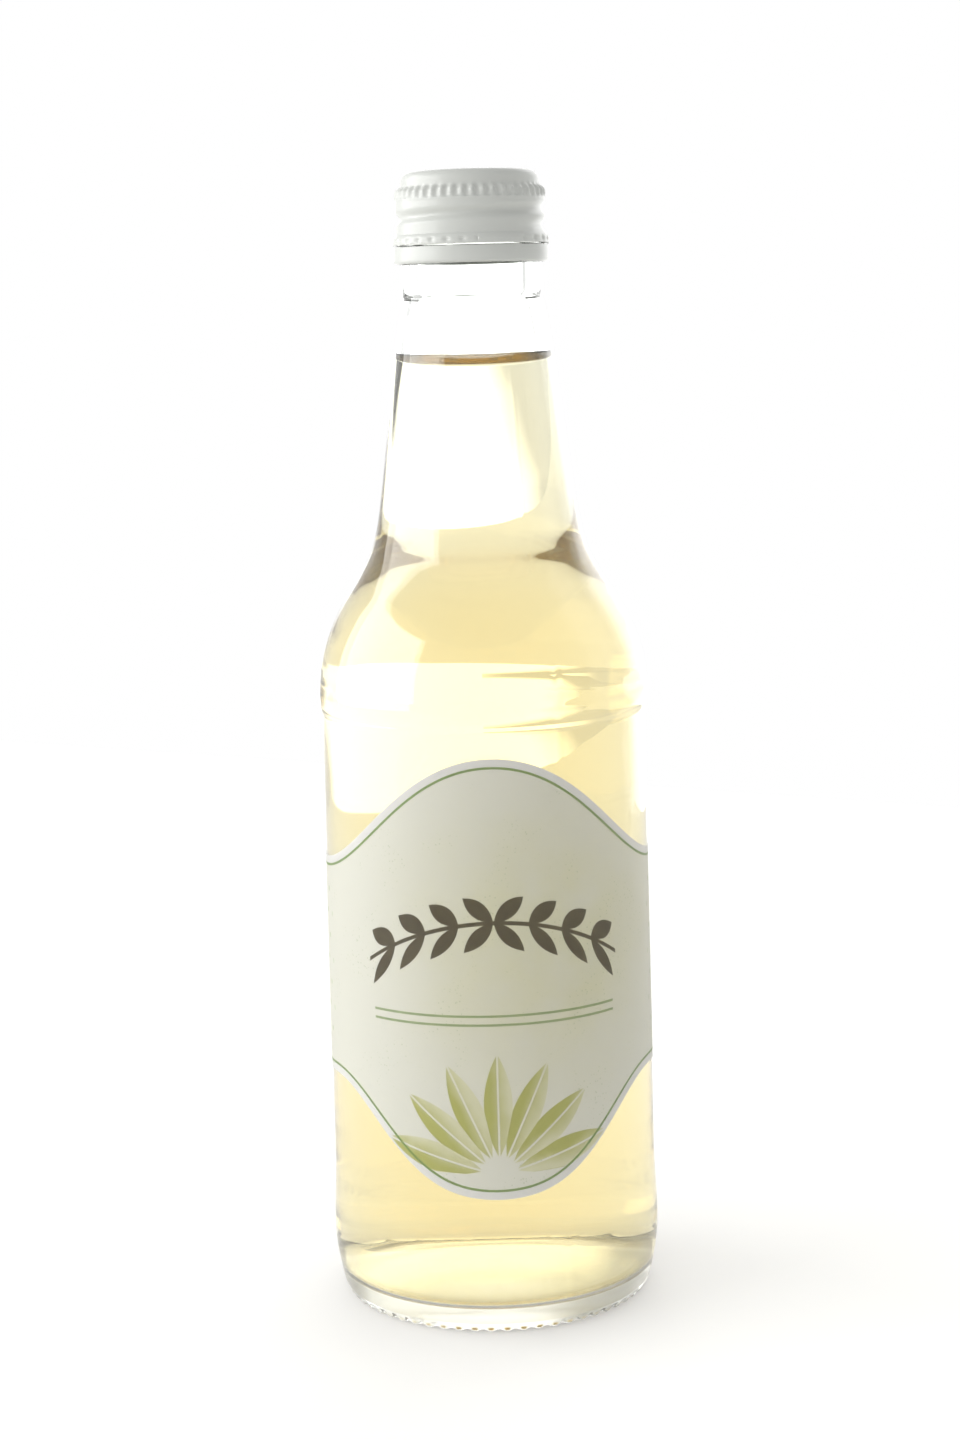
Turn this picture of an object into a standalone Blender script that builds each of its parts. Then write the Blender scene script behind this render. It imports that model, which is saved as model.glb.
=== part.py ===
"""Capped clear glass juice bottle with a waved wrap label and a roll-on screw cap.

Metres, +Z up. The origin is on the resting plane, under the bottle's axis. The front faces -Y.
Every piece is turned about Z, so an outline is a list of (radius, height) pairs. It runs down the
outer side and up the inner side.
"""

import math

import bmesh
import bpy

MM = 0.001
TAU = 2 * math.pi
GAP = 0.3 * MM                   # kept between solids that touch on the real bottle

# Glass body, outside
SIDES = 60                       # flats round the outside of the glass and the label
PANEL_RADIUS = 30.25 * MM        # recessed band that carries the label
PANEL_TOP = 108.8 * MM
CONTACT_RADIUS = 30.75 * MM      # ring at the shoulder, the widest part
CONTACT_BOTTOM = 111.2 * MM
COLLAR_RADIUS = 13.1 * MM        # plain band of the neck, under the cap
NECK_TOP = 186.3 * MM            # where the flare meets the collar, in a shallow nick
NECK_KNOTS = (                   # radius and height down the flare, in millimetres
    (12.95, 186.3),
    (13.68, 182.9),
    (15.05, 174.3),
    (18.25, 148.7),
    (19.98, 140.1),
    (22.7, 134.5),
    (26.3, 128.8),
    (28.9, 123.1),
    (30.3, 117.8),
    (30.75, 113.2),
)
HEEL_KNOTS = (                   # from the panel, round the heel ring, to the lower corner
    (30.25, 18.0),
    (30.7, 15.2),
    (30.7, 12.6),
    (30.45, 8.6),
    (29.6, 4.0),
)
CORNER_RADIUS = 3.4 * MM         # between the heel and the bearing ring
CORNER_ANGLES = (-24, -90)       # degrees where its arc starts and ends
BEARING_OUTER = 26.0 * MM        # flat ring that the bottle stands on
BEARING_INNER = 24.0 * MM
PUSH_UP_KNOTS = (                # hollow under the base, inwards from the bearing ring
    (22.6, 0.9),
    (14.0, 2.6),
    (0.0, 3.2),
)
BEADS = 60                       # small beads on the lower corner, just outside the bearing ring
BEAD_HEIGHT = 0.42 * MM

# Glass body, inside
INNER_SIDES = 30                 # flats round the inside of the glass and the juice
WALL = 2.7 * MM
FLOOR_KNOTS = (                  # from the middle of the floor to the foot of the wall
    (0.0, 7.1),
    (18.0, 4.5),
    (22.9, 3.9),
    (26.1, 5.1),
    (27.25, 8.3),
    (27.55, 13.5),
)
WALL_TOP = 108.0 * MM            # where the straight inner wall meets the shoulder
BORE_RADIUS = 9.6 * MM
BORE_BOTTOM = 192.0 * MM
BORE_LEAD = (9.8 * MM, 188.0 * MM)
FILL_LEVEL = 176.0 * MM

# Glass finish, the threaded mouth
RIM_TOP = 208.1 * MM
RIM_RADIUS = 12.2 * MM
RIM_ROUND = 0.5 * MM
RIM_BOTTOM = 206.4 * MM
THREAD_ROOT = 12.4 * MM
THREAD_CREST = 13.35 * MM
THREAD_TOP = 205.9 * MM
THREAD_BOTTOM = 198.2 * MM
THREAD_ROWS = 11
LOCK_RADIUS = 13.85 * MM         # locking bead that holds the tamper band
LOCK_TOP = 196.4 * MM
LOCK_BOTTOM = 194.8 * MM
LOCK_EDGE = 0.35 * MM
LOCK_SLOPE = 0.8 * MM            # height of the slopes above and below it

# Screw thread, shared by the glass and the cap: right hand, 8 turns to the inch
PITCH = 25.4 / 8 * MM
CREST_HEIGHT = 201.2 * MM        # height of the ridge's middle on the +X side
RIDGE_ENDS = (-147.0, 408.0)     # glass ridge, degrees along the helix from that place
GROOVE_ENDS = (-420.0, 100.0)    # groove rolled into the cap, half a pitch above the ridge
RUN_OUT = 45.0                   # degrees over which each end fades away

# Cap shell
CAP_TOP = 210.0 * MM
CAP_SIDES = 45
CAP_WALL = 0.35 * MM
DRUM_RADIUS = 13.05 * MM         # plain top of the cap
DRUM_BOTTOM = 207.1 * MM
DRUM_CORNER = 1.5 * MM
KNURL_ROWS = (                   # radius, height and depth of the knurls, in millimetres
    (13.75, 206.7, 0.54),
    (14.15, 206.1, 0.39),
    (14.15, 205.3, 0.3),
    (14.15, 204.8, 0.0),
)
KNURL_INSIDE = 13.45 * MM
KNURL_INSIDE_TOP = 206.0 * MM
KNURL_INSIDE_BOTTOM = 205.0 * MM
CAP_CREST = 14.05 * MM
CAP_TROUGH = 13.25 * MM
CAP_THREAD_TOP = 204.4 * MM
CAP_THREAD_ROWS = 10
VENT_ROWS = (                    # radius, height and depth of the vents, in millimetres
    (14.3, 197.8, 0.0),
    (14.6, 197.3, 0.25),
    (14.6, 196.7, 0.25),
    (14.6, 196.3, 0.0),
)
VENT_SPACING = 3                 # vertices from one vent to the next
VENT_PAUSE = (275.0, 312.0)      # degrees about Z, stretch with no vents
SKIRT_BOTTOM = 196.3 * MM
SKIRT_INSIDE = 14.15 * MM
SKIRT_INSIDE_TOP = 197.5 * MM

# Sealing disc in the cap
LINER_RADIUS = 12.3 * MM
LINER_THICKNESS = 0.95 * MM
LINER_CHAMFER = 0.5 * MM

# Tamper band
BRIDGES = 7
BAND_SIDES = 10 * BRIDGES
FIRST_BRIDGE = 9                 # flat of the band that carries the first bridge
BRIDGE_HEIGHT = 0.2 * MM
BAND_RADIUS = 14.55 * MM
BAND_TOP = 195.8 * MM
BAND_BOTTOM = 192.8 * MM
BAND_ROUND = 0.6 * MM            # rounding of its lower edge
BAND_LIP = 13.6 * MM             # inner radius of the edge turned in under the locking bead

# Label: the heights of its waved edges are a mean and cosines of 2, 4 and 6 times the angle
LABEL_INNER = 30.5 * MM
LABEL_OUTER = 30.7 * MM
LABEL_CENTRE = -88.4             # degrees about Z of the tallest part
LABEL_ENDS = (-140.0, 142.0)     # degrees from there to each end, which leave a bare strip behind
LABEL_STEPS = 47
LABEL_TOP_WAVE = (92.8 * MM, 11.2 * MM, 0.8 * MM, -0.4 * MM)
LABEL_BOTTOM_WAVE = (35.4 * MM, -9.8 * MM, -1.7 * MM, 1.1 * MM)

SHARP_EDGE = 38                  # degrees, steeper edges stay sharp
FINISHES = {
    "clear_glass": {"colour": (0.86, 0.9, 0.86), "roughness": 0.03, "transmission": 1.0},
    "straw_juice": {"colour": (0.93, 0.8, 0.42), "roughness": 0.02, "transmission": 0.9},
    "pale_paper": {"colour": (0.76, 0.79, 0.7), "roughness": 0.5, "transmission": 0.0},
    "white_lacquer": {"colour": (0.83, 0.84, 0.82), "roughness": 0.3, "transmission": 0.0},
    "liner_foam": {"colour": (0.8, 0.8, 0.78), "roughness": 0.6, "transmission": 0.0},
}


def clear_scene():
    for ob in list(bpy.data.objects):
        bpy.data.objects.remove(ob, do_unlink=True)


def make_material(name):
    finish = FINISHES[name]
    material = bpy.data.materials.new(name)
    material.use_nodes = True
    shader = material.node_tree.nodes["Principled BSDF"]
    shader.inputs["Base Color"].default_value = (*finish["colour"], 1.0)
    shader.inputs["Roughness"].default_value = finish["roughness"]
    shader.inputs["Metallic"].default_value = 0.0
    shader.inputs["Transmission Weight"].default_value = finish["transmission"]
    return material


def in_metres(knots):
    return [(radius * MM, height * MM) for radius, height in knots]


def heights(first, last, steps):
    return [first + (last - first) * i / steps for i in range(steps + 1)]


def arc(centre, radius, first, last, steps):
    """Points on an arc in the outline's plane, from the first angle to the last, in degrees."""
    points = []
    for degrees in heights(first, last, steps):
        angle = math.radians(degrees)
        points.append((centre[0] + radius * math.cos(angle), centre[1] + radius * math.sin(angle)))
    return points


def curve(knots, steps):
    """A smooth curve through the knots, with the given number of steps between two of them."""
    lengths = [math.dist(a, b) for a, b in zip(knots, knots[1:])]
    slopes = []
    for i in range(len(knots)):
        before = max(i - 1, 0)
        after = min(i + 1, len(knots) - 1)
        run = sum(lengths[before:after])
        slopes.append([(knots[after][k] - knots[before][k]) / run for k in (0, 1)])
    points = [knots[0]]
    for i, length in enumerate(lengths):
        for step in range(1, steps + 1):
            t = step / steps
            first = 2 * t**3 - 3 * t**2 + 1
            leave = (t**3 - 2 * t**2 + t) * length
            arrive = (t**3 - t**2) * length
            points.append(tuple(
                first * knots[i][k] + (1 - first) * knots[i + 1][k]
                + leave * slopes[i][k] + arrive * slopes[i + 1][k]
                for k in (0, 1)
            ))
    return points


def inset(outline, depth):
    """The outline moved by depth: towards the axis where it runs down, and up where it runs in."""
    moved = []
    for i, point in enumerate(outline):
        before = outline[max(i - 1, 0)]
        after = outline[min(i + 1, len(outline) - 1)]
        run = math.dist(before, after)
        along = ((after[0] - before[0]) / run, (after[1] - before[1]) / run)
        moved.append((point[0] + along[1] * depth, point[1] - along[0] * depth))
    return moved


def fade(degrees, ends):
    """1 along a thread and 0 past its ends, with a smooth run-out at each."""
    t = min(degrees - ends[0], ends[1] - degrees) / RUN_OUT
    t = min(max(t, 0.0), 1.0)
    return t * t * (3 - 2 * t)


def thread_share(angle, height, middle, ends):
    """How far up the thread's wave a place is, from 0 to 1. middle is the helix's height at +X."""
    turns = round((height - middle) / PITCH - angle / TAU)
    along = angle + TAU * turns
    offset = height - middle - PITCH * along / TAU
    return fade(math.degrees(along), ends) * (0.5 + 0.5 * math.cos(TAU * offset / PITCH))


def add_ring(mesh, point, sides):
    """A ring of vertices. point is a (radius, height) pair, or gives one for an angle and index."""
    if not callable(point) and point[0] == 0.0:
        return [mesh.verts.new((0.0, 0.0, point[1]))]
    ring = []
    for i in range(sides):
        angle = TAU * i / sides
        radius, height = point(angle, i) if callable(point) else point
        ring.append(mesh.verts.new((radius * math.cos(angle), radius * math.sin(angle), height)))
    return ring


def join_rings(mesh, upper, lower):
    """Faces between two rings. One may be a pole, or have twice as many vertices."""
    count = max(len(upper), len(lower))

    def nearest(ring, i):
        share = count // len(ring)
        return ring[(i + share // 2) // share % len(ring)]

    for i in range(count):
        loop = [nearest(upper, i), nearest(lower, i), nearest(lower, i + 1), nearest(upper, i + 1)]
        mesh.faces.new([v for k, v in enumerate(loop) if v is not loop[k - 1]])


def make_object(name, mesh, material):
    bmesh.ops.recalc_face_normals(mesh, faces=mesh.faces)
    data = bpy.data.meshes.new(name)
    mesh.to_mesh(data)
    mesh.free()
    data.materials.append(material)
    data.shade_smooth()
    data.set_sharp_from_angle(angle=math.radians(SHARP_EDGE))
    ob = bpy.data.objects.new(name, data)
    bpy.context.collection.objects.link(ob)
    return ob


def turn(name, outline, material, closed=False):
    """A turned body. outline is a list of (point, sides). closed joins its last ring to its first."""
    mesh = bmesh.new()
    rings = [add_ring(mesh, point, sides) for point, sides in outline]
    pairs = list(zip(rings, rings[1:]))
    if closed:
        pairs.append((rings[-1], rings[0]))
    for upper, lower in pairs:
        join_rings(mesh, upper, lower)
    return make_object(name, mesh, material)


def with_sides(points, sides):
    return [(point, sides) for point in points]


def glass_inside():
    """Inner side of the glass, from the middle of its floor up to the bore."""
    floor = curve(in_metres(FLOOR_KNOTS), 1)
    shoulder = inset(in_metres(NECK_KNOTS), WALL)[1:]
    bore = [BORE_LEAD, (BORE_RADIUS, BORE_BOTTOM)]
    return floor + [(PANEL_RADIUS - WALL, WALL_TOP)] + shoulder[::-1] + bore


def glass_thread_ring(height):
    def point(angle, _):
        share = thread_share(angle, height, CREST_HEIGHT, RIDGE_ENDS)
        return THREAD_ROOT + (THREAD_CREST - THREAD_ROOT) * share, height
    return point


def glass_finish():
    """Outer side of the mouth, from the rim down to the collar."""
    rim = [
        (BORE_RADIUS + RIM_ROUND, RIM_TOP),
        (RIM_RADIUS - RIM_ROUND, RIM_TOP),
        (RIM_RADIUS, RIM_TOP - RIM_ROUND),
        (RIM_RADIUS, RIM_BOTTOM),
    ]
    thread = [glass_thread_ring(z) for z in heights(THREAD_TOP, THREAD_BOTTOM, THREAD_ROWS)]
    lock = [
        (THREAD_ROOT, LOCK_TOP + LOCK_SLOPE),
        (LOCK_RADIUS - LOCK_EDGE, LOCK_TOP),
        (LOCK_RADIUS, LOCK_TOP - LOCK_EDGE),
        (LOCK_RADIUS, LOCK_BOTTOM),
        (COLLAR_RADIUS, LOCK_BOTTOM - LOCK_SLOPE),
        (COLLAR_RADIUS, NECK_TOP + LOCK_SLOPE),
    ]
    return rim + thread + lock


def bead_ring(point, height):
    """A ring of the lower corner whose every second vertex stands out by the given height."""
    centre = (BEARING_OUTER, CORNER_RADIUS)

    def place(_, index):
        grow = 1 + height / CORNER_RADIUS * (index % 2)
        return tuple(centre[k] + (point[k] - centre[k]) * grow for k in (0, 1))
    return place


def glass_outline():
    inside = glass_inside() + [(BORE_RADIUS, RIM_TOP - RIM_ROUND)]
    outside = glass_finish() + curve(in_metres(NECK_KNOTS), 2)
    outside += [(CONTACT_RADIUS, CONTACT_BOTTOM), (PANEL_RADIUS, PANEL_TOP)]
    outside += in_metres(HEEL_KNOTS)
    corner = arc((BEARING_OUTER, CORNER_RADIUS), CORNER_RADIUS, *CORNER_ANGLES, 4)
    beaded = [bead_ring(point, height) for point, height in zip(corner[1:], (0.0, BEAD_HEIGHT, 0.0))]
    under = [corner[4], (BEARING_INNER, 0.0)] + in_metres(PUSH_UP_KNOTS)
    return (
        with_sides(inside, INNER_SIDES) + with_sides(outside + corner[:1], SIDES)
        + with_sides(beaded, 2 * BEADS) + with_sides(under, SIDES)
    )


def juice_outline():
    """The drink fills the glass to its level, clear of the wall."""
    wall = inset(glass_inside()[::-1], GAP)
    wall[-1] = (0.0, wall[-1][1])
    above = [point for point in wall if point[1] >= FILL_LEVEL][-1]
    below = [point for point in wall if point[1] < FILL_LEVEL]
    share = (FILL_LEVEL - below[0][1]) / (above[1] - below[0][1])
    edge = below[0][0] + (above[0] - below[0][0]) * share
    return with_sides([(0.0, FILL_LEVEL), (edge, FILL_LEVEL)] + below, INNER_SIDES)


def cap_thread_ring(height, depth):
    """A ring of the cap's rolled wall, moved inwards by depth."""
    def point(angle, _):
        share = thread_share(angle, height, CREST_HEIGHT + PITCH / 2, GROOVE_ENDS)
        return CAP_CREST - (CAP_CREST - CAP_TROUGH) * share - depth, height
    return point


def knurl_ring(radius, height, depth):
    """Every second vertex is a knurl's ridge, and the others lie deeper."""
    def point(_, index):
        return (radius - depth * (index % 2)) * MM, height * MM
    return point


def vent_ring(radius, height, depth):
    """One vertex in each spacing is pressed in, except along the pause."""
    def point(angle, index):
        paused = VENT_PAUSE[0] < math.degrees(angle) < VENT_PAUSE[1]
        pressed = index % VENT_SPACING == 0 and not paused
        return (radius - depth * pressed) * MM, height * MM
    return point


def cap_outline():
    corner_centre = (DRUM_RADIUS - DRUM_CORNER, CAP_TOP - DRUM_CORNER)
    drum = [(0.0, CAP_TOP)] + arc(corner_centre, DRUM_CORNER, 90, 0, 3) + [(DRUM_RADIUS, DRUM_BOTTOM)]
    rows = heights(CAP_THREAD_TOP, THREAD_BOTTOM, CAP_THREAD_ROWS)
    inside = [(SKIRT_INSIDE, SKIRT_BOTTOM), (SKIRT_INSIDE, SKIRT_INSIDE_TOP)]
    inside += [cap_thread_ring(z, CAP_WALL) for z in rows[::-1]]
    inside += [(KNURL_INSIDE, KNURL_INSIDE_BOTTOM), (KNURL_INSIDE, KNURL_INSIDE_TOP)]
    inside += [(DRUM_RADIUS - CAP_WALL, DRUM_BOTTOM - CAP_WALL)]
    inside += arc(corner_centre, DRUM_CORNER - CAP_WALL, 0, 90, 2) + [(0.0, CAP_TOP - CAP_WALL)]
    return (
        with_sides(drum, CAP_SIDES)
        + with_sides([knurl_ring(*row) for row in KNURL_ROWS], 2 * CAP_SIDES)
        + with_sides([cap_thread_ring(z, 0.0) for z in rows], CAP_SIDES)
        + with_sides([vent_ring(*row) for row in VENT_ROWS], 2 * CAP_SIDES)
        + with_sides(inside, CAP_SIDES)
    )


def liner_outline():
    top = CAP_TOP - CAP_WALL - GAP
    bottom = top - LINER_THICKNESS
    edge = [
        (LINER_RADIUS - LINER_CHAMFER, top),
        (LINER_RADIUS, top - LINER_CHAMFER),
        (LINER_RADIUS, bottom),
    ]
    return with_sides([(0.0, top)] + edge + [(0.0, bottom)], CAP_SIDES)


def band_outline():
    inside = BAND_RADIUS - CAP_WALL
    lower_edge = arc(
        (BAND_RADIUS - BAND_ROUND, BAND_BOTTOM + BAND_ROUND), BAND_ROUND, 0, -90, 2
    )
    lip = [(BAND_LIP, BAND_BOTTOM), (BAND_LIP, BAND_BOTTOM + CAP_WALL)]
    fold = [
        (BAND_RADIUS - BAND_ROUND, BAND_BOTTOM + CAP_WALL),
        (inside, BAND_BOTTOM + BAND_ROUND + CAP_WALL),
    ]
    outline = [(BAND_RADIUS, BAND_TOP)] + lower_edge + lip + fold + [(inside, BAND_TOP)]
    return with_sides(outline, BAND_SIDES)


def raise_bridges(band):
    """The tabs that join the band to the cap, pulled up from single flats of its upper edge."""
    mesh = bmesh.new()
    mesh.from_mesh(band.data)
    for bridge in range(BRIDGES):
        angle = TAU * (FIRST_BRIDGE + 0.5 + bridge * BAND_SIDES / BRIDGES) / BAND_SIDES
        middle = BAND_RADIUS - CAP_WALL / 2
        place = (middle * math.cos(angle), middle * math.sin(angle), BAND_TOP)
        flat = min(mesh.faces, key=lambda face: math.dist(face.calc_center_median(), place))
        raised = bmesh.ops.extrude_discrete_faces(mesh, faces=[flat])["faces"][0]
        bmesh.ops.translate(mesh, verts=raised.verts, vec=(0.0, 0.0, BRIDGE_HEIGHT))
    mesh.to_mesh(band.data)
    mesh.free()


def wave(terms, offset):
    """Height of one of the label's edges, at an angle in degrees from its tallest part."""
    return sum(term * math.cos(2 * k * math.radians(offset)) for k, term in enumerate(terms))


def make_label(material):
    """A band of paper round the panel, as columns of four corners from one end to the other."""
    mesh = bmesh.new()
    columns = []
    for offset in heights(*LABEL_ENDS, LABEL_STEPS):
        angle = math.radians(LABEL_CENTRE + offset)
        top = wave(LABEL_TOP_WAVE, offset)
        bottom = wave(LABEL_BOTTOM_WAVE, offset)
        corners = (
            (LABEL_OUTER, top), (LABEL_OUTER, bottom), (LABEL_INNER, bottom), (LABEL_INNER, top)
        )
        columns.append([
            mesh.verts.new((radius * math.cos(angle), radius * math.sin(angle), height))
            for radius, height in corners
        ])
    for before, after in zip(columns, columns[1:]):
        for i in range(len(before)):
            mesh.faces.new([before[i - 1], before[i], after[i], after[i - 1]])
    mesh.faces.new(columns[0])
    mesh.faces.new(columns[-1])
    make_object("label", mesh, material)


def make_bottle(materials):
    turn("glass_bottle", glass_outline(), materials["clear_glass"])
    turn("juice", juice_outline(), materials["straw_juice"])
    make_label(materials["pale_paper"])


def make_cap(materials):
    """The shell and its liner hang on an empty on the screw's axis. The band stays on the glass."""
    screw_axis = bpy.data.objects.new("screw_axis", None)
    screw_axis.location = (0.0, 0.0, SKIRT_BOTTOM)
    bpy.context.collection.objects.link(screw_axis)
    shell = turn("cap_shell", cap_outline(), materials["white_lacquer"])
    liner = turn("cap_liner", liner_outline(), materials["liner_foam"])
    for piece in (shell, liner):
        piece.parent = screw_axis
        piece.matrix_parent_inverse = screw_axis.matrix_basis.inverted()
    raise_bridges(turn("tamper_band", band_outline(), materials["white_lacquer"], closed=True))


clear_scene()
finishes = {name: make_material(name) for name in FINISHES}
make_bottle(finishes)
make_cap(finishes)
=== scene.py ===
import math

import bpy
from mathutils import Matrix, Vector


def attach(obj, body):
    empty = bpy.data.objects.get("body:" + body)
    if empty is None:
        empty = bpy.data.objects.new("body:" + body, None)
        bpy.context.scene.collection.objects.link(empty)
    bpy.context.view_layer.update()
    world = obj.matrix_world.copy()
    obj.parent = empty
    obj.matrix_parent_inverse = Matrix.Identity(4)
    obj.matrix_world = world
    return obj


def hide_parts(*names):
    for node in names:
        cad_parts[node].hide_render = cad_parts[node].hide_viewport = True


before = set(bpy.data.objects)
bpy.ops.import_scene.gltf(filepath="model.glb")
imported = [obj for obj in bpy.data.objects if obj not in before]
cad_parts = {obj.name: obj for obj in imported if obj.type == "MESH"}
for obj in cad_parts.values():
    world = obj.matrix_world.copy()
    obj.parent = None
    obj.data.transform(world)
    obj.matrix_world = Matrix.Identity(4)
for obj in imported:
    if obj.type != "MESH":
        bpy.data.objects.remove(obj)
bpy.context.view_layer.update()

# Sizes below are in millimetres and degrees, unless a note says otherwise.
mm = 0.001
fullTurn = 2 * math.pi
print("frame loaded")


# Shapes

def arc(centre, radius, first, last, steps):
    angles = [math.radians(first + (last - first) * i / steps) for i in range(steps + 1)]
    return [(centre[0] + radius * math.cos(a), centre[1] + radius * math.sin(a)) for a in angles]


# A smooth curve through the knots, which may have more than two values each.
def smoothThrough(knots, steps):
    values = range(len(knots[0]))
    lengths = [math.dist(a, b) for a, b in zip(knots, knots[1:])]
    slopes = []
    for i in range(len(knots)):
        before = max(i - 1, 0)
        after = min(i + 1, len(knots) - 1)
        run = sum(lengths[before:after])
        slopes.append([(knots[after][k] - knots[before][k]) / run for k in values])
    points = [knots[0]]
    for i, length in enumerate(lengths):
        for step in range(1, steps + 1):
            t = step / steps
            first = 2 * t**3 - 3 * t**2 + 1
            leave = (t**3 - 2 * t**2 + t) * length
            arrive = (t**3 - t**2) * length
            points.append(tuple(
                first * knots[i][k] + (1 - first) * knots[i + 1][k]
                + leave * slopes[i][k] + arrive * slopes[i + 1][k]
                for k in values
            ))
    return points


# Moves an outline towards the axis where it runs down, and up where it runs in.
def inset(outline, depth):
    moved = []
    for i, point in enumerate(outline):
        before = outline[max(i - 1, 0)]
        after = outline[min(i + 1, len(outline) - 1)]
        run = math.dist(before, after)
        along = ((after[0] - before[0]) / run, (after[1] - before[1]) / run)
        moved.append((point[0] + along[1] * depth, point[1] - along[0] * depth))
    return moved


def between(first, last, steps):
    return [first + (last - first) * i / steps for i in range(steps + 1)]


def ease(t):
    t = min(max(t, 0.0), 1.0)
    return t * t * (3 - 2 * t)


def finishMesh(name, verts, faces, sharpAngle):
    data = bpy.data.meshes.new(name)
    data.from_pydata(verts, [], faces)
    data.shade_smooth()
    data.set_sharp_from_angle(angle=math.radians(sharpAngle))
    ob = bpy.data.objects.new(name, data)
    bpy.context.collection.objects.link(ob)
    return ob


# Turns rows about Z. A row is a (radius, height) pair, or gives one for an angle in radians.
# The rows run down the outer side and up the inner side, so the faces point out.
def turnPiece(name, rows, sides, closed=False, sharpAngle=38):
    verts, faces, rings = [], [], []
    for row in rows:
        start = len(verts)
        if not callable(row) and row[0] == 0:
            verts.append((0.0, 0.0, row[1] * mm))
            rings.append([start] * sides)
            continue
        for i in range(sides):
            a = fullTurn * i / sides
            radius, height = row(a) if callable(row) else row
            verts.append((radius * math.cos(a) * mm, radius * math.sin(a) * mm, height * mm))
        rings.append(range(start, start + sides))
    pairs = list(zip(rings, rings[1:]))
    if closed:
        pairs.append((rings[-1], rings[0]))
    for upper, lower in pairs:
        for i in range(sides):
            j = (i + 1) % sides
            loop = [upper[i], lower[i], lower[j], upper[j]]
            faces.append([v for k, v in enumerate(loop) if v != loop[k - 1]])
    return finishMesh(name, verts, faces, sharpAngle)


# Stores one number per vertex, which the piece's material reads by name.
def storeValues(ob, name, valueAt):
    attribute = ob.data.attributes.new(name, "FLOAT", "POINT")
    attribute.data.foreach_set("value", [valueAt(v.co / mm) for v in ob.data.vertices])


# Materials

def linear(hexColour):
    parts = [int(hexColour[i:i + 2], 16) / 255 for i in (1, 3, 5)]
    return (*[p / 12.92 if p <= 0.04045 else ((p + 0.055) / 1.055) ** 2.4 for p in parts], 1.0)


# Adds one node. An input takes a plain value, a socket, or a node for that node's first output.
def addNode(tree, kind, inputs=None, **settings):
    node = tree.nodes.new(kind)
    for key, value in settings.items():
        setattr(node, key, value)
    for socket, value in (inputs or {}).items():
        if isinstance(value, bpy.types.Node):
            value = value.outputs[0]
        if isinstance(value, bpy.types.NodeSocket):
            tree.links.new(value, node.inputs[socket])
        else:
            node.inputs[socket].default_value = value
    return node


def startMaterial(name, values):
    material = bpy.data.materials.new(name)
    material.use_nodes = True
    shader = material.node_tree.nodes["Principled BSDF"]
    for socket, value in values.items():
        shader.inputs[socket].default_value = value
    return material, material.node_tree, shader


# Flint container glass, soda lime, blown in a two part mould. It is clear, with a faint green cast
# and a slow ripple where the hot glass chilled against the iron.
def makeFlintGlass():
    material, tree, shader = startMaterial("flintContainerGlass", {
        "Base Color": linear("#FCFEFB"),
        "IOR": 1.52,
        "Transmission Weight": 1.0,
    })
    place = addNode(tree, "ShaderNodeTexCoord").outputs["Object"]
    ripple = addNode(
        tree, "ShaderNodeTexNoise", {"Vector": place, "Scale": 1000 / 14, "Detail": 1.0, "Roughness": 0.4}
    )
    bump = addNode(tree, "ShaderNodeBump", {"Strength": 0.25, "Distance": 0.06 * mm, "Height": ripple})
    tree.links.new(bump.outputs["Normal"], shader.inputs["Normal"])
    # The underside is stippled, so that only its raised points touch while the glass is hot.
    stippled = addNode(tree, "ShaderNodeAttribute", attribute_name="stippled").outputs["Fac"]
    frosted = addNode(tree, "ShaderNodeMapRange", {0: stippled, 3: 0.015, 4: 0.3})
    tree.links.new(frosted.outputs[0], shader.inputs["Roughness"])
    return material


# Filtered fruit juice. It is clear and straw coloured, and deepens to amber where the way through it
# is long.
def makeStrawJuice():
    material, tree, shader = startMaterial("filteredFruitJuice", {
        "Base Color": linear("#FFFFFF"),
        "Roughness": 0.0,
        "IOR": 1.345,
        "Transmission Weight": 1.0,
    })
    tint = addNode(tree, "ShaderNodeVolumeAbsorption", {"Color": linear("#FAE36A"), "Density": 20.0})
    tree.links.new(tint.outputs["Volume"], tree.nodes["Material Output"].inputs["Volume"])
    return material


# What is printed on the label, in millimetres across from its middle and up from the table.
labelPrint = {
    "paper": "#F8F8EC",
    "translucency": 0.5,
    "margin": "#FBFBF8",
    "lineColour": "#7FA050",
    "lineInset": 1.6,
    "lineHalfWidth": 0.17,
    "printAndShade": "#F1EEC2",             # straw tint, strongest at its centre below: partly printed, partly painted shade yellowed like light through the juice
    "printAndShadeCentre": (9.0, 70.0),
    "printAndShadeReach": 38.0,
    "speckle": 0.75,               # spacing of the stippled dots
    "sprig": "#453B28",            # dark foil branch with paired leaves
    "sprigHeight": 67.0,
    "sprigArch": 8.0,
    "sprigReach": 25.0,
    "leafSpacing": 6.25,
    "leafLength": 7.4,
    "leafHalfWidth": 1.45,
    "leafLean": 42.0,
    "ruleHeights": (58.2, 56.6),   # two thin printed lines under the branch
    "ruleReach": 24.0,
    "fan": ("#C2C468", "#EEEDC8"), # leaves that spread from a foot near the lower edge
    "fanFoot": (0.0, 29.5),
    "fanStep": 25.0,
    "fanLimit": 88.0,
    "fanMiddle": 12.5,
    "fanHalfLength": 9.5,
    "fanHalfWidth": 2.65,
    "dots": "#AFC78E",             # small dots round the sides
    "dotSpacing": 4.4,
    "dotRadius": 0.55,
    "dotsFrom": 37.0,
}


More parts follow.
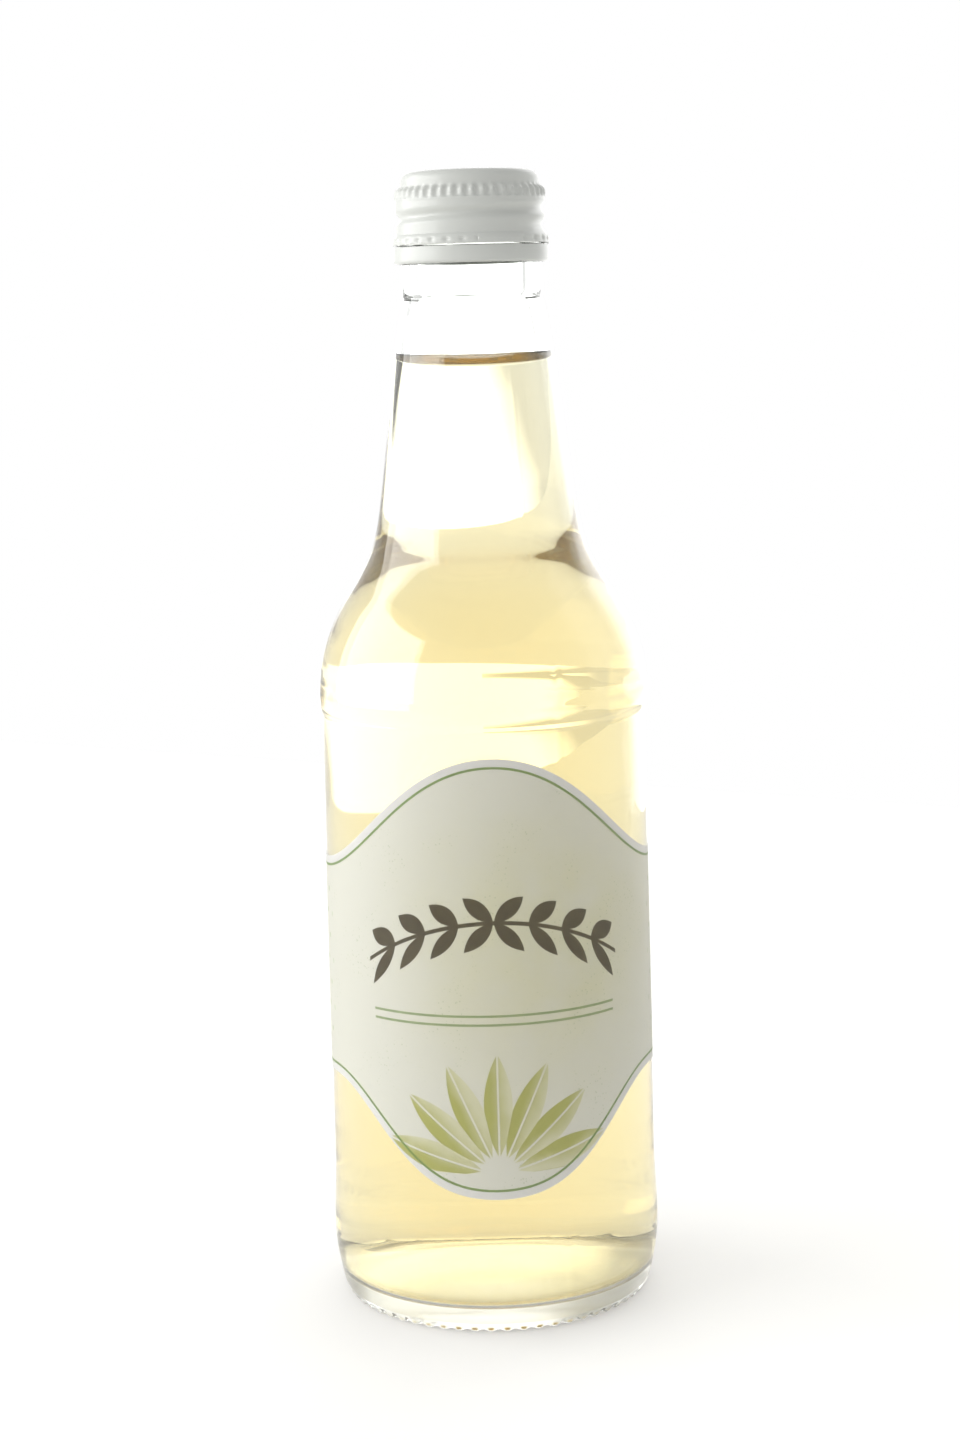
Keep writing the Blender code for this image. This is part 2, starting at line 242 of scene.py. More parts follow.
# Coated label paper, offset printed in greens, with the dark branch in foil. The coating gives it a
# soft sheen, and the foil catches the window.
def makeLabelPaper():
    material, tree, shader = startMaterial("coatedLabelPaper", {"Coat Weight": 0.15, "Coat Roughness": 0.3})
    ink = labelPrint
    across = addNode(tree, "ShaderNodeAttribute", attribute_name="across").outputs["Fac"]
    up = addNode(tree, "ShaderNodeAttribute", attribute_name="up").outputs["Fac"]
    rim = addNode(tree, "ShaderNodeAttribute", attribute_name="rimDistance").outputs["Fac"]
    place = addNode(tree, "ShaderNodeTexCoord").outputs["Object"]

    # Paper inside the border line, with a straw tint right of the middle that is partly printed and partly
    # painted shade, yellowed like light through the juice.
    inner = addNode(tree, "ShaderNodeMapRange", {0: rim, 1: ink["lineInset"], 2: ink["lineInset"] + 0.3})
    aside = addNode(tree, "ShaderNodeMath", {0: across, 1: ink["printAndShadeCentre"][0]}, operation="SUBTRACT")
    above = addNode(tree, "ShaderNodeMath", {0: up, 1: ink["printAndShadeCentre"][1]}, operation="SUBTRACT")
    offset = addNode(tree, "ShaderNodeCombineXYZ", {0: aside, 1: above})
    distance = addNode(tree, "ShaderNodeVectorMath", {0: offset}, operation="LENGTH").outputs["Value"]
    printAndShadeFalloff = addNode(
        tree, "ShaderNodeMapRange", {0: distance, 1: 4.0, 2: ink["printAndShadeReach"], 3: 0.6, 4: 0.0},
        interpolation_type="SMOOTHSTEP",
    )
    mottle = addNode(tree, "ShaderNodeTexNoise", {"Vector": place, "Scale": 1000 / 9, "Detail": 3.0})
    printAndShadeShare = addNode(tree, "ShaderNodeMath", {0: printAndShadeFalloff, 1: mottle}, operation="MULTIPLY")
    printAndShadeDoubled = addNode(tree, "ShaderNodeMath", {0: printAndShadeShare, 1: 1.8}, operation="MULTIPLY")
    printAndShadeInside = addNode(
        tree, "ShaderNodeMath", {0: printAndShadeDoubled, 1: inner}, operation="MULTIPLY", use_clamp=True
    )
    paper = addNode(
        tree, "ShaderNodeMix", {0: inner, 6: linear(ink["margin"]), 7: linear(ink["paper"])}, data_type="RGBA"
    )
    # Mixes in the straw tint, which is partly print and partly painted shade.
    colour = addNode(
        tree, "ShaderNodeMix", {0: printAndShadeInside, 6: paper.outputs[2], 7: linear(ink["printAndShade"])}, data_type="RGBA"
    )

    # Stippled dots, random in place and thinned out by slow noise.
    cells = addNode(
        tree, "ShaderNodeTexVoronoi", {"Vector": place, "Scale": 1000 / ink["speckle"]}
    ).outputs["Distance"]
    dot = addNode(tree, "ShaderNodeMapRange", {0: cells, 1: 0.16, 2: 0.24, 3: 1.0, 4: 0.0})
    thinned = addNode(tree, "ShaderNodeMapRange", {0: mottle, 1: 0.5, 2: 0.62, 3: 0.0, 4: 0.35})
    speckled = addNode(tree, "ShaderNodeMath", {0: dot, 1: thinned}, operation="MULTIPLY")
    speckledInside = addNode(tree, "ShaderNodeMath", {0: speckled, 1: inner}, operation="MULTIPLY")
    colour = addNode(
        tree, "ShaderNodeMix", {0: speckledInside, 6: colour.outputs[2], 7: linear(ink["lineColour"])},
        data_type="RGBA",
    )

    # Dots in staggered rows round the sides.
    spacing = ink["dotSpacing"]
    row = addNode(tree, "ShaderNodeMath", {0: up, 1: spacing}, operation="DIVIDE")
    rowNumber = addNode(tree, "ShaderNodeMath", {0: row}, operation="FLOOR")
    stagger = addNode(tree, "ShaderNodeMath", {0: rowNumber, 1: spacing / 2}, operation="MULTIPLY")
    shifted = addNode(tree, "ShaderNodeMath", {0: across, 1: stagger}, operation="ADD")
    dotAcross = addNode(tree, "ShaderNodeMath", {0: shifted, 1: spacing / 2}, operation="PINGPONG")
    dotUp = addNode(tree, "ShaderNodeMath", {0: row}, operation="FRACT")
    dotMiddle = addNode(
        tree, "ShaderNodeMath", {0: dotUp, 1: spacing, 2: -spacing / 2}, operation="MULTIPLY_ADD"
    )
    dotOffset = addNode(tree, "ShaderNodeCombineXYZ", {0: dotAcross, 1: dotMiddle})
    dotDistance = addNode(tree, "ShaderNodeVectorMath", {0: dotOffset}, operation="LENGTH").outputs["Value"]
    dotInk = addNode(
        tree, "ShaderNodeMapRange",
        {0: dotDistance, 1: ink["dotRadius"] - 0.08, 2: ink["dotRadius"], 3: 1.0, 4: 0.0},
    )
    side = addNode(tree, "ShaderNodeMath", {0: across}, operation="ABSOLUTE")
    aroundSide = addNode(
        tree, "ShaderNodeMapRange", {0: side, 1: ink["dotsFrom"], 2: ink["dotsFrom"] + 6.0}
    )
    clear = addNode(tree, "ShaderNodeMapRange", {0: rim, 1: 4.0, 2: 5.5})
    dotShare = addNode(tree, "ShaderNodeMath", {0: dotInk, 1: aroundSide}, operation="MULTIPLY")
    dotsInside = addNode(tree, "ShaderNodeMath", {0: dotShare, 1: clear}, operation="MULTIPLY")
    colour = addNode(
        tree, "ShaderNodeMix", {0: dotsInside, 6: colour.outputs[2], 7: linear(ink["dots"])}, data_type="RGBA"
    )

    # Fan of leaves. Its angle from upright is cut into equal steps, with one leaf in each.
    footUp = addNode(tree, "ShaderNodeMath", {0: up, 1: ink["fanFoot"][1]}, operation="SUBTRACT")
    turned = addNode(tree, "ShaderNodeMath", {0: across, 1: footUp}, operation="ARCTAN2")
    turn = addNode(tree, "ShaderNodeMath", {0: turned, 1: 180 / math.pi}, operation="MULTIPLY")
    step = addNode(tree, "ShaderNodeMath", {0: turn, 1: ink["fanStep"]}, operation="DIVIDE")
    nearest = addNode(tree, "ShaderNodeMath", {0: step}, operation="ROUND")
    offStep = addNode(tree, "ShaderNodeMath", {0: step, 1: nearest}, operation="SUBTRACT")
    fanStep = math.radians(ink["fanStep"])
    offAngle = addNode(tree, "ShaderNodeMath", {0: offStep, 1: fanStep}, operation="MULTIPLY")
    footOffset = addNode(tree, "ShaderNodeCombineXYZ", {0: across, 1: footUp})
    reach = addNode(tree, "ShaderNodeVectorMath", {0: footOffset}, operation="LENGTH").outputs["Value"]
    sine = addNode(tree, "ShaderNodeMath", {0: offAngle}, operation="SINE")
    cosine = addNode(tree, "ShaderNodeMath", {0: offAngle}, operation="COSINE")
    leafAside = addNode(tree, "ShaderNodeMath", {0: sine, 1: reach}, operation="MULTIPLY")
    leafAlong = addNode(tree, "ShaderNodeMath", {0: cosine, 1: reach}, operation="MULTIPLY")
    fromMiddle = addNode(tree, "ShaderNodeMath", {0: leafAlong, 1: ink["fanMiddle"]}, operation="SUBTRACT")
    share = addNode(tree, "ShaderNodeMath", {0: fromMiddle, 1: ink["fanHalfLength"]}, operation="DIVIDE")
    square = addNode(tree, "ShaderNodeMath", {0: share, 1: share}, operation="MULTIPLY")
    halfWidth = addNode(
        tree, "ShaderNodeMath", {0: square, 1: -ink["fanHalfWidth"], 2: ink["fanHalfWidth"]},
        operation="MULTIPLY_ADD",
    )
    asideSize = addNode(tree, "ShaderNodeMath", {0: leafAside}, operation="ABSOLUTE")
    inLeaf = addNode(tree, "ShaderNodeMath", {0: halfWidth, 1: asideSize}, operation="SUBTRACT")
    leafInk = addNode(tree, "ShaderNodeMapRange", {0: inLeaf, 1: 0.0, 2: 0.12})
    turnSize = addNode(tree, "ShaderNodeMath", {0: turn}, operation="ABSOLUTE")
    inFan = addNode(tree, "ShaderNodeMath", {0: turnSize, 1: ink["fanLimit"]}, operation="LESS_THAN")
    rib = addNode(tree, "ShaderNodeMapRange", {0: asideSize, 1: 0.12, 2: 0.22})
    ribbed = addNode(tree, "ShaderNodeMath", {0: leafInk, 1: rib}, operation="MULTIPLY")
    fanInk = addNode(tree, "ShaderNodeMath", {0: ribbed, 1: inFan}, operation="MULTIPLY")
    shadeAside = addNode(
        tree, "ShaderNodeMapRange", {0: leafAside, 1: -ink["fanHalfWidth"], 2: ink["fanHalfWidth"]}
    )
    shadeMottle = addNode(tree, "ShaderNodeMath", {0: shadeAside, 1: mottle}, operation="ADD")
    shade = addNode(tree, "ShaderNodeMapRange", {0: shadeMottle, 1: 0.75, 2: 1.35})
    fanColour = addNode(
        tree, "ShaderNodeMix", {0: shade, 6: linear(ink["fan"][0]), 7: linear(ink["fan"][1])},
        data_type="RGBA",
    )
    colour = addNode(
        tree, "ShaderNodeMix", {0: fanInk, 6: colour.outputs[2], 7: fanColour.outputs[2]}, data_type="RGBA"
    )

    # Branch: an arched stem, with leaves in pairs that lean away from the middle.
    sideShare = addNode(tree, "ShaderNodeMath", {0: side, 1: ink["sprigReach"]}, operation="DIVIDE")
    sideSquare = addNode(tree, "ShaderNodeMath", {0: sideShare, 1: sideShare}, operation="MULTIPLY")
    stemHeight = addNode(
        tree, "ShaderNodeMath",
        {0: sideSquare, 1: -ink["sprigArch"], 2: ink["sprigHeight"] + ink["sprigArch"]},
        operation="MULTIPLY_ADD",
    )
    offStem = addNode(tree, "ShaderNodeMath", {0: up, 1: stemHeight}, operation="SUBTRACT")
    stemGap = addNode(tree, "ShaderNodeMath", {0: offStem}, operation="ABSOLUTE")
    stemInk = addNode(tree, "ShaderNodeMapRange", {0: stemGap, 1: 0.32, 2: 0.44, 3: 1.0, 4: 0.0})
    cell = addNode(tree, "ShaderNodeMath", {0: side, 1: ink["leafSpacing"]}, operation="MODULO")
    lean = math.radians(ink["leafLean"])
    cellCos = addNode(tree, "ShaderNodeMath", {0: cell, 1: math.cos(lean)}, operation="MULTIPLY")
    alongLeaf = addNode(
        tree, "ShaderNodeMath", {0: stemGap, 1: math.sin(lean), 2: cellCos}, operation="MULTIPLY_ADD"
    )
    cellSin = addNode(tree, "ShaderNodeMath", {0: cell, 1: -math.sin(lean)}, operation="MULTIPLY")
    acrossLeaf = addNode(
        tree, "ShaderNodeMath", {0: stemGap, 1: math.cos(lean), 2: cellSin}, operation="MULTIPLY_ADD"
    )
    half = ink["leafLength"] / 2
    fromHalf = addNode(tree, "ShaderNodeMath", {0: alongLeaf, 1: half}, operation="SUBTRACT")
    leafShare = addNode(tree, "ShaderNodeMath", {0: fromHalf, 1: half}, operation="DIVIDE")
    leafSquare = addNode(tree, "ShaderNodeMath", {0: leafShare, 1: leafShare}, operation="MULTIPLY")
    leafWidth = addNode(
        tree, "ShaderNodeMath", {0: leafSquare, 1: -ink["leafHalfWidth"], 2: ink["leafHalfWidth"]},
        operation="MULTIPLY_ADD",
    )
    leafGap = addNode(tree, "ShaderNodeMath", {0: acrossLeaf}, operation="ABSOLUTE")
    inSprigLeaf = addNode(tree, "ShaderNodeMath", {0: leafWidth, 1: leafGap}, operation="SUBTRACT")
    sprigLeaf = addNode(tree, "ShaderNodeMapRange", {0: inSprigLeaf, 1: 0.0, 2: 0.1})
    sprig = addNode(tree, "ShaderNodeMath", {0: sprigLeaf, 1: stemInk}, operation="MAXIMUM")
    inSprig = addNode(tree, "ShaderNodeMath", {0: side, 1: ink["sprigReach"]}, operation="LESS_THAN")
    sprigInk = addNode(tree, "ShaderNodeMath", {0: sprig, 1: inSprig}, operation="MULTIPLY")
    colour = addNode(
        tree, "ShaderNodeMix", {0: sprigInk, 6: colour.outputs[2], 7: linear(ink["sprig"])}, data_type="RGBA"
    )

    # Border line, and the two rules under the branch.
    lineGap = addNode(tree, "ShaderNodeMath", {0: rim, 1: ink["lineInset"]}, operation="SUBTRACT")
    lineSize = addNode(tree, "ShaderNodeMath", {0: lineGap}, operation="ABSOLUTE")
    lines = addNode(
        tree, "ShaderNodeMapRange",
        {0: lineSize, 1: ink["lineHalfWidth"], 2: ink["lineHalfWidth"] + 0.1, 3: 1.0, 4: 0.0},
    )
    inRule = addNode(tree, "ShaderNodeMath", {0: side, 1: ink["ruleReach"]}, operation="LESS_THAN")
    for height in ink["ruleHeights"]:
        ruleGap = addNode(tree, "ShaderNodeMath", {0: up, 1: height}, operation="SUBTRACT")
        ruleSize = addNode(tree, "ShaderNodeMath", {0: ruleGap}, operation="ABSOLUTE")
        rule = addNode(
            tree, "ShaderNodeMapRange",
            {0: ruleSize, 1: ink["lineHalfWidth"], 2: ink["lineHalfWidth"] + 0.1, 3: 0.8, 4: 0.0},
        )
        ruleInk = addNode(tree, "ShaderNodeMath", {0: rule, 1: inRule}, operation="MULTIPLY")
        lines = addNode(tree, "ShaderNodeMath", {0: lines, 1: ruleInk}, operation="MAXIMUM")
    colour = addNode(
        tree, "ShaderNodeMix", {0: lines, 6: colour.outputs[2], 7: linear(ink["lineColour"])},
        data_type="RGBA",
    )
    tree.links.new(colour.outputs[2], shader.inputs["Base Color"])

    # The foil is smoother than the paper, whose coating shows its fibres faintly.
    gloss = addNode(tree, "ShaderNodeMapRange", {0: sprigInk, 3: 0.46, 4: 0.24})
    tree.links.new(gloss.outputs[0], shader.inputs["Roughness"])
    fibres = addNode(tree, "ShaderNodeTexNoise", {"Vector": place, "Scale": 1000 / 0.5, "Detail": 4.0})
    bump = addNode(tree, "ShaderNodeBump", {"Strength": 0.3, "Distance": 0.02 * mm, "Height": fibres})
    tree.links.new(bump.outputs["Normal"], shader.inputs["Normal"])

    # Light also soaks through the paper from either side.
    through = addNode(tree, "ShaderNodeBsdfTranslucent", {"Color": linear("#FFFFFF")})
    both = addNode(tree, "ShaderNodeMixShader", {0: ink["translucency"], 1: shader, 2: through})
    tree.links.new(both.outputs[0], tree.nodes["Material Output"].inputs["Surface"])
    return material


# Aluminium sheet with a white baked lacquer, pressed and rolled on to the glass. It is satin, with a
# fine orange peel, and rubbed a little thin on the tops of the knurls.
def makeCapLacquer():
    material, tree, shader = startMaterial("whiteBakedLacquer", {
        "Roughness": 0.38,
        "Coat Weight": 0.2,
        "Coat Roughness": 0.15,
    })
    place = addNode(tree, "ShaderNodeTexCoord").outputs["Object"]
    worn = addNode(tree, "ShaderNodeAttribute", attribute_name="rubbed").outputs["Fac"]
    scuffs = addNode(tree, "ShaderNodeTexNoise", {"Vector": place, "Scale": 1000 / 1.2, "Detail": 5.0})
    wornScuffs = addNode(tree, "ShaderNodeMath", {0: worn, 1: scuffs}, operation="MULTIPLY")
    share = addNode(tree, "ShaderNodeMapRange", {0: wornScuffs, 1: 0.3, 2: 0.6, 3: 0.0, 4: 0.5})
    colour = addNode(
        tree, "ShaderNodeMix", {0: share, 6: linear("#C6C8C3"), 7: linear("#AFB2AE")}, data_type="RGBA"
    )
    tree.links.new(colour.outputs[2], shader.inputs["Base Color"])
    peel = addNode(tree, "ShaderNodeTexNoise", {"Vector": place, "Scale": 1000 / 0.7, "Detail": 2.0})
    bump = addNode(tree, "ShaderNodeBump", {"Strength": 0.2, "Distance": 0.015 * mm, "Height": peel})
    tree.links.new(bump.outputs["Normal"], shader.inputs["Normal"])
    return material


# Foamed polyethylene sealing disc. It is matt and off white, with fine closed cells.
def makeLinerFoam():
    material, tree, shader = startMaterial("foamedPolyethylene", {"Roughness": 0.62})
    place = addNode(tree, "ShaderNodeTexCoord").outputs["Object"]
    cells = addNode(tree, "ShaderNodeTexVoronoi", {"Vector": place, "Scale": 1000 / 0.35}).outputs["Distance"]
    colour = addNode(
        tree, "ShaderNodeMix", {0: cells, 6: linear("#DFDFD8"), 7: linear("#EFEFEA")}, data_type="RGBA"
    )
    tree.links.new(colour.outputs[2], shader.inputs["Base Color"])
    bump = addNode(tree, "ShaderNodeBump", {"Strength": 0.4, "Distance": 0.05 * mm, "Height": cells})
    tree.links.new(bump.outputs["Normal"], shader.inputs["Normal"])
    return material


# Screw thread, shared by the glass and the cap: right hand, 8 turns to the inch.
thread = {
    "pitch": 25.4 / 8,
    "crestHeight": 201.2,          # middle of the glass ridge on the +X side
    "ridgeEnds": (-147.0, 408.0),  # along the helix from that place
    "grooveEnds": (-420.0, 100.0), # rolled into the cap, half a pitch above the ridge
    "runOut": 45.0,
}


# How far up the thread's wave a place is, from 0 to 1.
def threadShare(angle, height, middle, ends):
    pitch = thread["pitch"]
    turns = round((height - middle) / pitch - angle / fullTurn)
    along = angle + fullTurn * turns
    offset = height - middle - pitch * along / fullTurn
    degrees = math.degrees(along)
    fade = ease(min(degrees - ends[0], ends[1] - degrees) / thread["runOut"])
    return fade * (0.5 + 0.5 * math.cos(fullTurn * offset / pitch))


# Glass body

glass = {
    "sides": 300,
    "wall": 2.7,
    "panelRadius": 30.25,
    "panelTop": 108.4,
    "panelBottom": 24.0,
    "neckKnots": (
        (13.1, 193.2), (13.1, 190.2), (13.1, 187.1),
        (12.95, 186.3), (13.68, 182.9), (15.05, 174.3), (18.25, 148.7), (19.98, 140.1),
        (22.7, 134.5), (26.3, 128.8), (28.9, 123.1), (30.3, 117.8), (30.75, 113.2),
        (30.75, 111.2), (30.6, 110.0), (30.33, 109.2), (30.25, 108.4),
    ),
    "heelKnots": ((30.25, 24.0), (30.5, 18.0), (30.62, 13.5), (30.4, 8.6), (29.6, 4.0)),
    "cornerCentre": (26.0, 3.4),
    "cornerRadius": 3.4,
    "cornerAngles": (-24.0, -90.0),
    "stippleReach": 27.0,          # the stippled underside ends at this radius and this height
    "stippleTop": 3.25,
    "pushUpKnots": ((24.0, 0.0), (22.6, 0.9), (14.0, 2.6), (5.0, 3.12), (0.0, 3.2)),
    "beads": 60,
    "beadHeight": 0.42,
    "beadAngle": -57.0,
    "beadSpread": 20.0,
    "floorKnots": (
        (0.0, 7.1), (9.0, 6.2), (18.0, 4.5), (22.9, 3.9), (26.1, 5.1), (27.25, 8.3), (27.55, 13.5),
    ),
    "wallTop": 108.0,
    "boreKnots": ((9.8, 188.0), (9.6, 192.0), (9.6, 200.0), (9.6, 207.6)),
    "rimTop": 208.1,
    "rimRadius": 12.2,
    "rimRound": 0.5,
    "rimBottom": 206.4,
    "threadRoot": 12.4,
    "threadCrest": 13.35,
    "threadTop": 205.9,
    "threadBottom": 198.2,
    "lockKnots": (
        (12.4, 197.4), (12.5, 197.0), (13.5, 196.4), (13.78, 196.2), (13.85, 195.8),
        (13.85, 195.1), (13.76, 194.75), (13.25, 194.2), (13.1, 193.9), (13.1, 193.2),
    ),
    "seamDirection": -64.0,        # the mould's halves met here and opposite
    "seamSpread": 0.8,             # degrees
    "seamHeight": 0.07,
    "contactRadius": 30.75,        # bottles touch each other here, so nothing stands out further
    "ripple": 0.04,                # slow unevenness of the outer skin
    "innerRipple": 0.12,           # the inner skin was shaped by air alone
}


# Slow unevenness of blown glass, from about -1 to 1.
def unevenness(angle, height, start):
    return (
        0.4 * math.sin(2 * angle + 0.031 * height + start)
        + 0.35 * math.sin(3 * angle - 0.047 * height + 2.1 * start)
        + 0.25 * math.sin(7 * angle + 0.022 * height + 3.7 * start)
    )


# A ring whose radius dips by up to amount, with a raised line where the mould's halves met.
def uneven(point, amount, start, seam=0.0):
    def place(angle):
        dip = amount * (0.5 - 0.5 * unevenness(angle, point[1], start))
        off = (math.degrees(angle) - glass["seamDirection"] + 90) % 180 - 90
        radius = point[0] - dip + seam * math.exp(-(off / glass["seamSpread"]) ** 2)
        return min(radius, glass["contactRadius"]), point[1]
    return place


# Inner side of the glass, from the middle of its floor up to the mouth.
def glassInside():
    neck = [knot for knot in glass["neckKnots"] if knot[1] < 187.0 and knot[1] > 113.0]
    shoulder = inset(neck, glass["wall"])[1:]
    panelInside = glass["panelRadius"] - glass["wall"]
    wall = [(panelInside, z) for z in (30.0, 60.0, 90.0, glass["wallTop"])]
    knots = list(glass["floorKnots"]) + wall + shoulder[::-1] + list(glass["boreKnots"])
    return smoothThrough(knots, 4)


def glassThreadRow(height):
    def place(angle):
        share = threadShare(angle, height, thread["crestHeight"], thread["ridgeEnds"])
        return glass["threadRoot"] + (glass["threadCrest"] - glass["threadRoot"]) * share ** 1.4, height
    return place


def beadRow(point, degrees):
    centre = glass["cornerCentre"]
    rise = math.exp(-((degrees - glass["beadAngle"]) / glass["beadSpread"] * 1.6) ** 2)

    def place(angle):
        round60 = 0.5 - 0.5 * math.cos(glass["beads"] * angle)
        grow = 1 + glass["beadHeight"] * rise * round60 / glass["cornerRadius"]
        return tuple(centre[k] + (point[k] - centre[k]) * grow for k in (0, 1))
    return place


def innerSkin(point):
    height = point[1]
    share = ease((height - 8.0) / 12.0) * ease((196.0 - height) / 20.0)
    return uneven(point, glass["innerRipple"] * share, 1.0)


def makeGlass():
    inside = [p if p[0] == 0 else innerSkin(p) for p in glassInside()]
    rimRound = glass["rimRound"]
    boreRadius = glass["boreKnots"][-1][0]
    rim = arc((boreRadius + rimRound, glass["rimTop"] - rimRound), rimRound, 180, 90, 5)[1:]
    rim += arc((glass["rimRadius"] - rimRound, glass["rimTop"] - rimRound), rimRound, 90, 0, 5)
    rim += [(glass["rimRadius"], glass["rimBottom"])]
    threadRows = [glassThreadRow(z) for z in between(glass["threadTop"], glass["threadBottom"], 34)]
    lock = smoothThrough(glass["lockKnots"], 3)[:-1]
    body = smoothThrough(glass["neckKnots"], 6)
    body += [(glass["panelRadius"], z) for z in between(glass["panelTop"], glass["panelBottom"], 10)[1:-1]]
    body += smoothThrough(glass["heelKnots"], 5)
    skin = [uneven(p, glass["ripple"], 2.0, glass["seamHeight"]) for p in body]
    first, last = glass["cornerAngles"]
    steps = 16
    corner = arc(glass["cornerCentre"], glass["cornerRadius"], first, last, steps)
    beaded = [beadRow(p, d) for p, d in zip(corner, between(first, last, steps))]
    under = smoothThrough(glass["pushUpKnots"], 5)
    rows = inside + rim + threadRows + lock + skin + beaded + under
    piece = turnPiece("glassBody", rows, glass["sides"])
    storeValues(piece, "stippled", lambda p: float(
        p.z < glass["stippleTop"] and math.hypot(p.x, p.y) < glass["stippleReach"]
    ))
    piece.data.materials.append(makeFlintGlass())
    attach(piece, "bottle")
    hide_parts("glass_bottle")
    return piece


# Juice

juice = {
    "sides": 240,
    "bite": 0.1,          # it reaches this far into the glass, so that no film of air is left
    "level": 173.3,
    "contact": 175.9,     # the meniscus climbs the wall to here
    "climbLength": 1.7,
}


def makeJuice():
    wall = inset(glassInside()[::-1], -juice["bite"])
    wall[-1] = (0.0, wall[-1][1])
    below = [p for p in wall if p[1] < juice["contact"]]
    above = [p for p in wall if p[1] >= juice["contact"]][-1]
    share = (juice["contact"] - below[0][1]) / (above[1] - below[0][1])
    edge = below[0][0] + (above[0] - below[0][0]) * share
    rise = juice["contact"] - juice["level"]
    surface = [(0.0, juice["level"])]
    for i in range(1, 41):
        radius = edge * (1 - (1 - i / 40) ** 2)
        surface.append((radius, juice["level"] + rise * math.exp((radius - edge) / juice["climbLength"])))
    skin = [innerSkin(p) for p in below[:-1]] + [below[-1]]
    piece = turnPiece("juiceFill", surface + skin, juice["sides"], sharpAngle=60)
    piece.data.materials.append(makeStrawJuice())
    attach(piece, "bottle")
    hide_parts("juice")
    return piece


# Label

label = {
    "innerRadius": 30.2,            # pasted down, so no film of air shows behind it
    "outerRadius": 30.37,
    "centre": -88.4,                # direction of the tallest part
    "topWave": (92.8, 11.2, 0.8, -0.4),
    "bottomWave": (35.4, -9.8, -1.7, 1.1),
    "ends": (-140.0, 142.0),        # degrees from its middle to each end
    "endRound": 2.5,
    "columns": 280,
    "rows": 40,
}


def wave(terms, degrees):
    offset = math.radians(degrees)
    return sum(term * math.cos(2 * k * offset) for k, term in enumerate(terms))


def waveSlope(terms, degrees):
    offset = math.radians(degrees)
    rise = sum(-2 * k * term * math.sin(2 * k * offset) for k, term in enumerate(terms))
    return rise / label["outerRadius"]


def makeLabel():
    rows = label["rows"]
    verts, faces, across, up, rim = [], [], [], [], []
    corner = label["endRound"]
    first, last = label["ends"]
    inner, outer = label["innerRadius"], label["outerRadius"]
    # Columns are closer at the ends, where the paper's corners are rounded.
    offsets = [first + 8 * (i / 20) ** 2 for i in range(20)]
    offsets += between(first + 8, last - 8, label["columns"])
    offsets += [last - 8 * (i / 20) ** 2 for i in range(19, -1, -1)]
    for degrees in offsets:
        endGap = math.radians(min(degrees - first, last - degrees)) * outer
        cut = corner - math.sqrt(max(corner**2 - max(corner - endGap, 0.0) ** 2, 0.0))
        top = wave(label["topWave"], degrees)
        bottom = wave(label["bottomWave"], degrees)
        lean = math.cos(math.atan(waveSlope(label["topWave"], degrees)))
        leanBelow = math.cos(math.atan(waveSlope(label["bottomWave"], degrees)))
        a = math.radians(degrees + label["centre"])
        heights = between(top - cut, bottom + cut, rows)
        for radius, z in [(outer, z) for z in heights] + [(inner, z) for z in heights[::-1]]:
            verts.append((radius * math.cos(a) * mm, radius * math.sin(a) * mm, z * mm))
            across.append(math.radians(degrees) * outer)
            up.append(z)
            rim.append(min((top - z) * lean, (z - bottom) * leanBelow, endGap))
    count = 2 * (rows + 1)
    for column in range(len(offsets) - 1):
        here, there = column * count, (column + 1) * count
        for i in range(count):
            j = (i + 1) % count
            faces.append([here + i, here + j, there + j, there + i])
    for start, flip in ((0, False), ((len(offsets) - 1) * count, True)):
        for i in range(rows):
            loop = [start + i, start + count - 1 - i, start + count - 2 - i, start + i + 1]
            faces.append(loop[::-1] if flip else loop)
    piece = finishMesh("wrapLabel", verts, faces, 38)
    for name, values in (("across", across), ("up", up), ("rimDistance", rim)):
        piece.data.attributes.new(name, "FLOAT", "POINT").data.foreach_set("value", values)
    piece.data.materials.append(makeLabelPaper())
    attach(piece, "bottle")
    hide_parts("label")
    return piece


# Cap shell, sealing disc and tamper band

cap = {
    "sides": 360,
    "top": 210.0,
    "wall": 0.35,
    "drumRadius": 13.05,
    "drumCorner": 1.9,
    "drumBottom": 207.1,
    "panelRadius": 10.4,           # shallow dish of its top
    "panelDepth": 0.15,
    "knurls": 45,
    "knurlKnots": (                # radius, height and depth of the knurls
        (13.05, 207.5, 0.0), (13.2, 207.1, 0.15), (13.75, 206.7, 0.5), (14.1, 206.2, 0.5),
        (14.15, 205.6, 0.42), (14.15, 205.1, 0.25), (14.13, 204.7, 0.0),
    ),
    "crest": 14.05,
    "trough": 13.25,
    "threadTop": 204.4,
    "threadBottom": 198.2,
    "vents": 30,
    "ventDepth": 0.32,
    "ventPause": (275.0, 312.0),
    "skirtKnots": ((14.05, 198.2), (14.3, 197.9), (14.52, 197.5), (14.6, 197.1), (14.6, 196.7)),
    "skirtBottom": 196.3,
    "skirtInside": 14.15,
    "bridges": 7,
    "firstBridge": 360 * 9.5 / 70,
    "bridgeWidth": 5.0,            # degrees
    "bridgeReach": 0.12,
}

band = {
    "radius": 14.55,
    "top": 195.95,
    "bottom": 192.8,
    "round": 0.6,
    "lip": 13.6,
}

liner = {
    "radius": 12.3,
    "thickness": 0.95,
    "chamfer": 0.5,
    "gap": 0.3,
}


def bridgeShare(angle):
    spacing = 360 / cap["bridges"]
    offset = (math.degrees(angle) - cap["firstBridge"] + spacing / 2) % spacing - spacing / 2
    return 1.0 if abs(offset) <= cap["bridgeWidth"] / 2 + 0.01 else 0.0


def knurlRow(knot):
    def place(angle):
        return knot[0] - knot[2] * (0.5 - 0.5 * math.cos(cap["knurls"] * angle)), knot[1]
    return place


